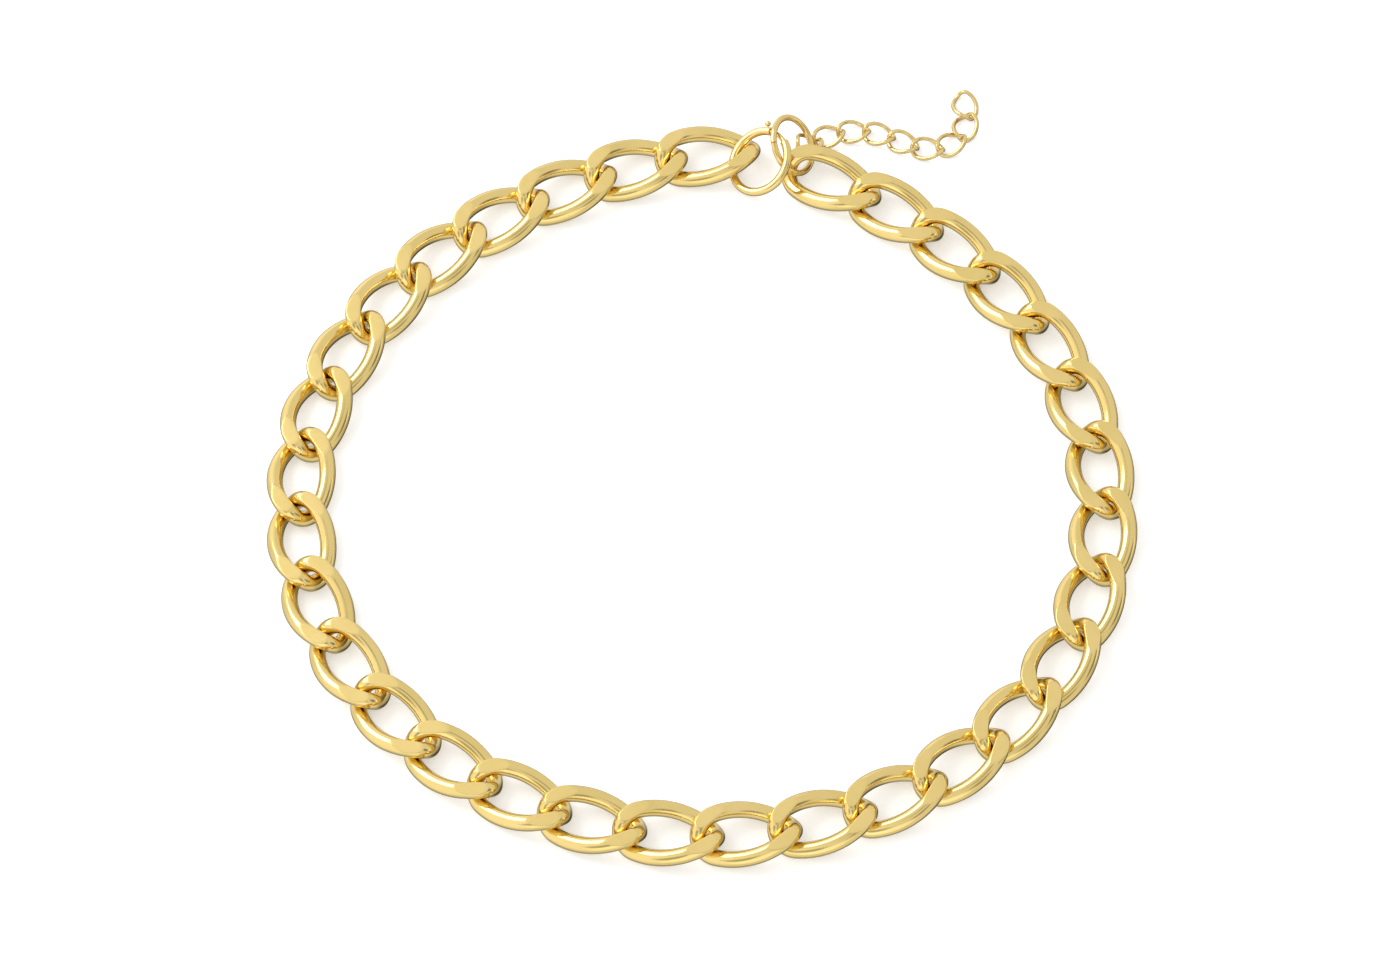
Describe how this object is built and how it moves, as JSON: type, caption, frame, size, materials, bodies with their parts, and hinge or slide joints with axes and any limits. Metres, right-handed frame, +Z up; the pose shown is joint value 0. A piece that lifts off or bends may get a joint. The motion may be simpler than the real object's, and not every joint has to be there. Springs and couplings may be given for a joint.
{
  "type": "chain necklace",
  "caption": "Choker chain of large flat-ground twisted curb links lying closed in a loop, with a slim spring-ring clasp, a jump ring and a short fine extender chain.",
  "frame": {"origin": "middle of the whole piece's outline, on the plane it lies on", "axes": "+Z up from the table, +Y from the front link towards the clasp, +X to the right seen from the front"},
  "size_m": [0.1424, 0.1476, 0.0085],
  "materials": {
    "gold_plate": "polished gold plate with satin ground flats"
  },
  "bodies": {
    "link_01": {"link_01": "gold_plate"},
    "link_02": {"link_02": "gold_plate"},
    "link_03": {"link_03": "gold_plate"},
    "link_04": {"link_04": "gold_plate"},
    "link_05": {"link_05": "gold_plate"},
    "link_06": {"link_06": "gold_plate"},
    "link_07": {"link_07": "gold_plate"},
    "link_08": {"link_08": "gold_plate"},
    "link_09": {"link_09": "gold_plate"},
    "link_10": {"link_10": "gold_plate"},
    "link_11": {"link_11": "gold_plate"},
    "link_12": {"link_12": "gold_plate"},
    "link_13": {"link_13": "gold_plate"},
    "link_14": {"link_14": "gold_plate"},
    "link_15": {"link_15": "gold_plate"},
    "link_16": {"link_16": "gold_plate"},
    "link_17": {"link_17": "gold_plate"},
    "link_18": {"link_18": "gold_plate"},
    "link_19": {"link_19": "gold_plate"},
    "link_20": {"link_20": "gold_plate"},
    "link_21": {"link_21": "gold_plate"},
    "link_22": {"link_22": "gold_plate"},
    "link_23": {"link_23": "gold_plate"},
    "link_24": {"link_24": "gold_plate"},
    "link_25": {"link_25": "gold_plate"},
    "link_26": {"link_26": "gold_plate"},
    "link_27": {"link_27": "gold_plate"},
    "link_28": {"link_28": "gold_plate"},
    "link_29": {"link_29": "gold_plate"},
    "link_30": {"link_30": "gold_plate"},
    "link_31": {"link_31": "gold_plate"},
    "link_32": {"link_32": "gold_plate"},
    "jump_ring": {"jump_ring": "gold_plate"},
    "clasp_ring": {"clasp_ring": "gold_plate", "clasp_spring": "gold_plate"},
    "clasp_gate": {"clasp_gate": "gold_plate"},
    "extender_link_01": {"extender_link_01": "gold_plate"},
    "extender_link_02": {"extender_link_02": "gold_plate"},
    "extender_link_03": {"extender_link_03": "gold_plate"},
    "extender_link_04": {"extender_link_04": "gold_plate"},
    "extender_link_05": {"extender_link_05": "gold_plate"},
    "extender_link_06": {"extender_link_06": "gold_plate"},
    "extender_link_07": {"extender_link_07": "gold_plate"},
    "extender_link_08": {"extender_link_08": "gold_plate"},
    "extender_link_09": {"extender_link_09": "gold_plate"}
  },
  "joints": [
    {"name": "link_01_hinge", "type": "hinge", "parent": "link_02", "child": "link_01", "pos_m": [-0.005, 0.0592, 0.00225], "axis": [0, 0, 1], "range_deg": [-12, 12]},
    {"name": "link_09_hinge", "type": "hinge", "parent": "link_10", "child": "link_09", "pos_m": [-0.066, -0.00881, 0.00225], "axis": [0, 0, 1], "range_deg": [-12, 12]},
    {"name": "link_18_hinge", "type": "hinge", "parent": "link_17", "child": "link_18", "pos_m": [0.00103, -0.0687, 0.00225], "axis": [0, 0, 1], "range_deg": [-10, 10]},
    {"name": "link_26_hinge", "type": "hinge", "parent": "link_25", "child": "link_26", "pos_m": [0.06614, -0.00769, 0.00225], "axis": [0, 0, 1], "range_deg": [-12, 12]},
    {"name": "link_02_hinge", "type": "hinge", "parent": "link_03", "child": "link_02", "pos_m": [-0.01694, 0.05585, 0.00225], "axis": [0, 0, 1], "range_deg": [-12, 12]},
    {"name": "link_10_hinge", "type": "hinge", "parent": "link_11", "child": "link_10", "pos_m": [-0.06424, -0.02109, 0.00225], "axis": [0, 0, 1], "range_deg": [-12, 12]},
    {"name": "link_19_hinge", "type": "hinge", "parent": "link_18", "child": "link_19", "pos_m": [0.01338, -0.06763, 0.00225], "axis": [0, 0, -1], "range_deg": [-10, 10]},
    {"name": "link_27_hinge", "type": "hinge", "parent": "link_26", "child": "link_27", "pos_m": [0.06476, 0.00463, 0.00225], "axis": [0, 0, 1], "range_deg": [-12, 12]},
    {"name": "link_03_hinge", "type": "hinge", "parent": "link_04", "child": "link_03", "pos_m": [-0.02831, 0.05089, 0.00225], "axis": [0, 0, 1], "range_deg": [-12, 12]},
    {"name": "link_11_hinge", "type": "hinge", "parent": "link_12", "child": "link_11", "pos_m": [-0.05992, -0.03271, 0.00225], "axis": [0, 0, 1], "range_deg": [-12, 12]},
    {"name": "link_20_hinge", "type": "hinge", "parent": "link_19", "child": "link_20", "pos_m": [0.02536, -0.06443, 0.00225], "axis": [0, 0, 1], "range_deg": [-10, 10]},
    {"name": "link_28_hinge", "type": "hinge", "parent": "link_27", "child": "link_28", "pos_m": [0.06094, 0.01642, 0.00225], "axis": [0, 0, 1], "range_deg": [-12, 12]},
    {"name": "link_04_hinge", "type": "hinge", "parent": "link_05", "child": "link_04", "pos_m": [-0.03882, 0.04431, 0.00225], "axis": [0, 0, 1], "range_deg": [-12, 12]},
    {"name": "link_12_hinge", "type": "hinge", "parent": "link_13", "child": "link_12", "pos_m": [-0.05329, -0.04319, 0.00225], "axis": [0, 0, 1], "range_deg": [-12, 12]},
    {"name": "link_21_hinge", "type": "hinge", "parent": "link_20", "child": "link_21", "pos_m": [0.03656, -0.0591, 0.00225], "axis": [0, 0, -1], "range_deg": [-10, 10]},
    {"name": "link_29_hinge", "type": "hinge", "parent": "link_28", "child": "link_29", "pos_m": [0.05496, 0.02729, 0.00225], "axis": [0, 0, 1], "range_deg": [-12, 12]},
    {"name": "link_05_hinge", "type": "hinge", "parent": "link_06", "child": "link_05", "pos_m": [-0.04814, 0.03613, 0.00225], "axis": [0, 0, 1], "range_deg": [-12, 12]},
    {"name": "link_13_hinge", "type": "hinge", "parent": "link_14", "child": "link_13", "pos_m": [-0.04471, -0.05214, 0.00225], "axis": [0, 0, 1], "range_deg": [-10, 10]},
    {"name": "link_22_hinge", "type": "hinge", "parent": "link_21", "child": "link_22", "pos_m": [0.04654, -0.05175, 0.00225], "axis": [0, 0, 1], "range_deg": [-12, 12]},
    {"name": "link_30_hinge", "type": "hinge", "parent": "link_29", "child": "link_30", "pos_m": [0.04717, 0.03694, 0.00225], "axis": [0, 0, 1], "range_deg": [-12, 12]},
    {"name": "link_06_hinge", "type": "hinge", "parent": "link_07", "child": "link_06", "pos_m": [-0.05588, 0.02644, 0.00225], "axis": [0, 0, 1], "range_deg": [-12, 12]},
    {"name": "link_14_hinge", "type": "hinge", "parent": "link_15", "child": "link_14", "pos_m": [-0.03458, -0.05929, 0.00225], "axis": [0, 0, -1], "range_deg": [-10, 10]},
    {"name": "link_23_hinge", "type": "hinge", "parent": "link_22", "child": "link_23", "pos_m": [0.05486, -0.04255, 0.00225], "axis": [0, 0, 1], "range_deg": [-12, 12]},
    {"name": "link_31_hinge", "type": "hinge", "parent": "link_30", "child": "link_31", "pos_m": [0.03794, 0.04521, 0.00225], "axis": [0, 0, 1], "range_deg": [-12, 12]},
    {"name": "link_07_hinge", "type": "hinge", "parent": "link_08", "child": "link_07", "pos_m": [-0.06165, 0.01547, 0.00225], "axis": [0, 0, 1], "range_deg": [-12, 12]},
    {"name": "link_15_hinge", "type": "hinge", "parent": "link_16", "child": "link_15", "pos_m": [-0.02332, -0.06449, 0.00225], "axis": [0, 0, 1], "range_deg": [-10, 10]},
    {"name": "link_24_hinge", "type": "hinge", "parent": "link_23", "child": "link_24", "pos_m": [0.06109, -0.03183, 0.00225], "axis": [0, 0, 1], "range_deg": [-12, 12]},
    {"name": "link_32_hinge", "type": "hinge", "parent": "link_31", "child": "link_32", "pos_m": [0.02758, 0.05203, 0.00225], "axis": [0, 0, 1], "range_deg": [-12, 12]},
    {"name": "link_08_hinge", "type": "hinge", "parent": "link_09", "child": "link_08", "pos_m": [-0.0651, 0.00356, 0.00225], "axis": [0, 0, 1], "range_deg": [-12, 12]},
    {"name": "link_16_hinge", "type": "hinge", "parent": "link_17", "child": "link_16", "pos_m": [-0.01133, -0.06764, 0.00225], "axis": [0, 0, -1], "range_deg": [-10, 10]},
    {"name": "link_25_hinge", "type": "hinge", "parent": "link_24", "child": "link_25", "pos_m": [0.06491, -0.02003, 0.00225], "axis": [0, 0, 1], "range_deg": [-12, 12]},
    {"name": "jump_ring_hinge", "type": "hinge", "parent": "link_32", "child": "jump_ring", "pos_m": [0.01639, 0.05736, 0.00225], "axis": [0, 0, 1], "range_deg": [-12, 12]},
    {"name": "clasp_ring_spin", "type": "hinge", "parent": "jump_ring", "child": "clasp_ring", "pos_m": [0.00996, 0.05766, 0.00405], "axis": [-0.5237, -0.1742, 0.8339], "range_deg": [-10, 10]},
    {"name": "clasp_gate_slide", "type": "hinge", "parent": "clasp_ring", "child": "clasp_gate", "pos_m": [0.00996, 0.05766, 0.00405], "axis": [-0.5237, -0.1742, 0.8339], "range_deg": [0, 42], "stiffness_Nm_per_rad": 0.002, "springref_deg": -11.46, "deforming": ["clasp_spring"]},
    {"name": "extender_link_01_hinge", "type": "hinge", "parent": "jump_ring", "child": "extender_link_01", "pos_m": [0.01668, 0.06143, 0.00291], "axis": [0, 0, 1], "range_deg": [0, 15]},
    {"name": "extender_link_02_hinge", "type": "hinge", "parent": "extender_link_01", "child": "extender_link_02", "pos_m": [0.01963, 0.064, 0.0009], "axis": [0, 0, -1], "range_deg": [-15, 15]},
    {"name": "extender_link_03_hinge", "type": "hinge", "parent": "extender_link_02", "child": "extender_link_03", "pos_m": [0.02371, 0.06565, 0.0009], "axis": [0, 0, 1], "range_deg": [-15, 15]},
    {"name": "extender_link_04_hinge", "type": "hinge", "parent": "extender_link_03", "child": "extender_link_04", "pos_m": [0.02811, 0.0658, 0.0009], "axis": [0, 0, -1], "range_deg": [-15, 15]},
    {"name": "extender_link_05_hinge", "type": "hinge", "parent": "extender_link_04", "child": "extender_link_05", "pos_m": [0.03229, 0.06444, 0.0009], "axis": [0, 0, 1], "range_deg": [-15, 15]},
    {"name": "extender_link_06_hinge", "type": "hinge", "parent": "extender_link_05", "child": "extender_link_06", "pos_m": [0.03621, 0.06245, 0.0009], "axis": [0, 0, -1], "range_deg": [-15, 15]},
    {"name": "extender_link_07_hinge", "type": "hinge", "parent": "extender_link_06", "child": "extender_link_07", "pos_m": [0.04059, 0.06206, 0.0009], "axis": [0, 0, 1], "range_deg": [-15, 15]},
    {"name": "extender_link_08_hinge", "type": "hinge", "parent": "extender_link_07", "child": "extender_link_08", "pos_m": [0.0442, 0.06459, 0.0009], "axis": [0, 0, -1], "range_deg": [-15, 15]},
    {"name": "extender_link_09_hinge", "type": "hinge", "parent": "extender_link_08", "child": "extender_link_09", "pos_m": [0.04549, 0.06879, 0.0009], "axis": [0, 0, 1], "range_deg": [-15, 15]}
  ],
  "couplings": [
    {"joint": "link_01_hinge", "follows": "link_18_hinge", "ratio": -0.89571},
    {"joint": "link_09_hinge", "follows": "link_18_hinge", "ratio": 0.97503},
    {"joint": "link_26_hinge", "follows": "link_18_hinge", "ratio": -0.92068},
    {"joint": "link_02_hinge", "follows": "link_19_hinge", "ratio": 0.91872},
    {"joint": "link_10_hinge", "follows": "link_19_hinge", "ratio": -0.9802},
    {"joint": "link_27_hinge", "follows": "link_19_hinge", "ratio": 0.93851},
    {"joint": "link_03_hinge", "follows": "link_20_hinge", "ratio": -0.93838},
    {"joint": "link_11_hinge", "follows": "link_20_hinge", "ratio": 0.98735},
    {"joint": "link_28_hinge", "follows": "link_20_hinge", "ratio": -0.95104},
    {"joint": "link_04_hinge", "follows": "link_21_hinge", "ratio": 0.95307},
    {"joint": "link_12_hinge", "follows": "link_21_hinge", "ratio": -0.99565},
    {"joint": "link_29_hinge", "follows": "link_21_hinge", "ratio": 0.95743},
    {"joint": "link_05_hinge", "follows": "link_13_hinge", "ratio": -0.95743},
    {"joint": "link_22_hinge", "follows": "link_13_hinge", "ratio": 0.99565},
    {"joint": "link_30_hinge", "follows": "link_13_hinge", "ratio": -0.95307},
    {"joint": "link_06_hinge", "follows": "link_14_hinge", "ratio": 0.95104},
    {"joint": "link_23_hinge", "follows": "link_14_hinge", "ratio": -0.98735},
    {"joint": "link_31_hinge", "follows": "link_14_hinge", "ratio": 0.93838},
    {"joint": "link_07_hinge", "follows": "link_15_hinge", "ratio": -0.93851},
    {"joint": "link_24_hinge", "follows": "link_15_hinge", "ratio": 0.9802},
    {"joint": "link_32_hinge", "follows": "link_15_hinge", "ratio": -0.91872},
    {"joint": "link_08_hinge", "follows": "link_16_hinge", "ratio": 0.92068},
    {"joint": "link_25_hinge", "follows": "link_16_hinge", "ratio": -0.97503},
    {"joint": "jump_ring_hinge", "follows": "link_16_hinge", "ratio": 0.89571}
  ]
}
